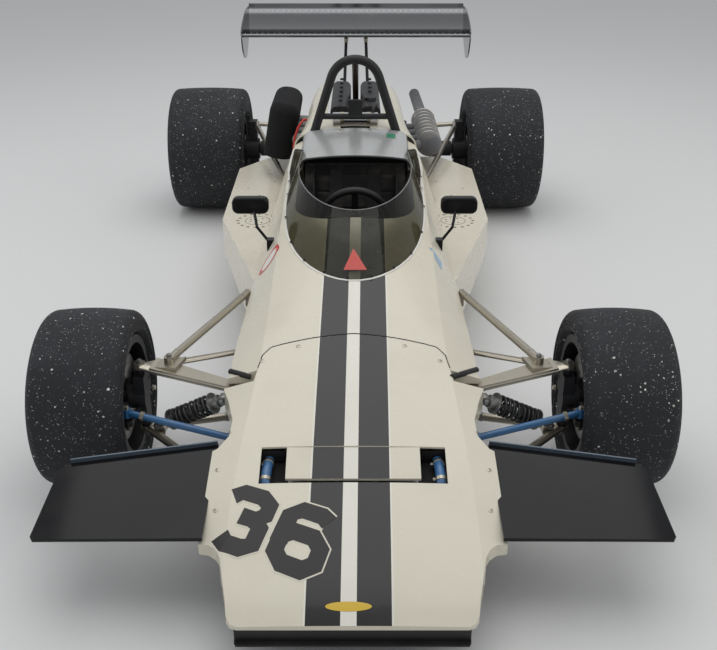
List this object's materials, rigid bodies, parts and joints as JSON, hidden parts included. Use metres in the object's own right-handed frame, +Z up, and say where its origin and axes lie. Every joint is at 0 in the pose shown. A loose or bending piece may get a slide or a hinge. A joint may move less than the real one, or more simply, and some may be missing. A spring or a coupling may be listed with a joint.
{
  "type": "open wheel racing car",
  "caption": "Low single seat open wheel racing car with a wedge nose, wrapped screen, roll hoop, side pods, slick tyres and a rear wing.",
  "frame": {"origin": "on the ground, below the middle of the car's length and width", "axes": "+Z up, the nose points along -Y, +X is the car's left"},
  "size_m": [1.846, 3.796, 0.9519],
  "materials": {
    "cream_paint": "glossy ivory bodywork with two dark stripes",
    "silver_paint": "glossy silver-cream deck",
    "black_gloss": "gloss black",
    "black_satin": "satin black",
    "tub_metal": "riveted sheet",
    "polished_aluminium": "polished",
    "cast_alloy": "cast",
    "dark_metal": "dark",
    "nickel": "nickel plated",
    "blue_paint": "blue tie rods",
    "screen": "tinted clear sheet",
    "tyre": "slick with grit",
    "rim_metal": "dark rim",
    "disc_iron": "machined",
    "seat_trim": "black",
    "belt": "black webbing",
    "filter": "black sock",
    "lagging": "grey wrap",
    "lamp": "red lamp"
  },
  "bodies": {
    "chassis": {"cam_covers": "black_satin", "catch_tank": "polished_aluminium", "cockpit_cowl": "cream_paint", "dash_panel": "black_satin", "engine_block": "cast_alloy", "engine_cover": "cream_paint", "exhaust": "lagging", "front_lower_wishbones": "nickel", "front_radius_rods": "nickel", "front_springs": "black_satin", "front_upper_wishbones": "nickel", "gearbox": "cast_alloy", "gearbox_brackets": "nickel", "harness": "belt", "head_fairing": "silver_paint", "intake_filter": "filter", "intake_trumpets": "cast_alloy", "jack_bar": "nickel", "mirrors": "black_gloss", "nose_cowl": "cream_paint", "nose_fins": "black_gloss", "nose_splitter": "black_satin", "rack_housing": "cast_alloy", "radiators": "dark_metal", "rear_light": "lamp", "rear_links": "nickel", "rear_radius_rods": "nickel", "rear_springs": "black_satin", "rear_uprights": "cast_alloy", "rear_wing": "polished_aluminium", "roll_hoop": "black_satin", "seat": "seat_trim", "side_pod_left": "cream_paint", "side_pod_right": "cream_paint", "tub": "tub_metal", "tub_brackets": "nickel", "windscreen": "screen", "wing_end_plates": "polished_aluminium", "wing_struts": "black_satin"},
    "left_knuckle": {"knuckle_left": "dark_metal"},
    "right_knuckle": {"knuckle_right": "dark_metal"},
    "rack": {"steering_rack": "blue_paint"},
    "steering": {"steering_wheel": "black_satin"},
    "wheel_front_left": {"tyre_front_left": "tyre", "rim_front_left": "rim_metal", "disc_front_left": "disc_iron"},
    "wheel_front_right": {"tyre_front_right": "tyre", "rim_front_right": "rim_metal", "disc_front_right": "disc_iron"},
    "wheel_rear_left": {"tyre_rear_left": "tyre", "rim_rear_left": "rim_metal", "disc_rear_left": "disc_iron"},
    "wheel_rear_right": {"tyre_rear_right": "tyre", "rim_rear_right": "rim_metal", "disc_rear_right": "disc_iron"}
  },
  "joints": [
    {"name": "steer_left", "type": "hinge", "parent": "chassis", "child": "left_knuckle", "pos_m": [0.605, -1.11, 0.254], "axis": [0, 0, 1], "range_deg": [-18, 18]},
    {"name": "steer_right", "type": "hinge", "parent": "chassis", "child": "right_knuckle", "pos_m": [-0.605, -1.11, 0.254], "axis": [0, 0, 1], "range_deg": [-18, 18]},
    {"name": "rack_travel", "type": "slide", "parent": "chassis", "child": "rack", "axis": [1, 0, 0], "range_m": [-0.034, 0.034]},
    {"name": "steering_turn", "type": "hinge", "parent": "chassis", "child": "steering", "pos_m": [0, -0.165, 0.453], "axis": [0, 0.9786, 0.206], "range_deg": [-226, 226]},
    {"name": "spin_front_left", "type": "hinge", "parent": "left_knuckle", "child": "wheel_front_left", "pos_m": [0.739, -1.11, 0.254], "axis": [1, 0, 0], "continuous": true},
    {"name": "spin_front_right", "type": "hinge", "parent": "right_knuckle", "child": "wheel_front_right", "pos_m": [-0.739, -1.11, 0.254], "axis": [1, 0, 0], "continuous": true},
    {"name": "spin_rear_left", "type": "hinge", "parent": "chassis", "child": "wheel_rear_left", "pos_m": [0.738, 1.34, 0.305], "axis": [1, 0, 0], "continuous": true},
    {"name": "spin_rear_right", "type": "hinge", "parent": "chassis", "child": "wheel_rear_right", "pos_m": [-0.738, 1.34, 0.305], "axis": [1, 0, 0], "continuous": true}
  ],
  "couplings": [
    {"joint": "steer_right", "follows": "steer_left", "ratio": 1},
    {"joint": "rack_travel", "follows": "steer_left", "m_per_rad": 0.105},
    {"joint": "steering_turn", "follows": "steer_left", "ratio": 12.5}
  ]
}
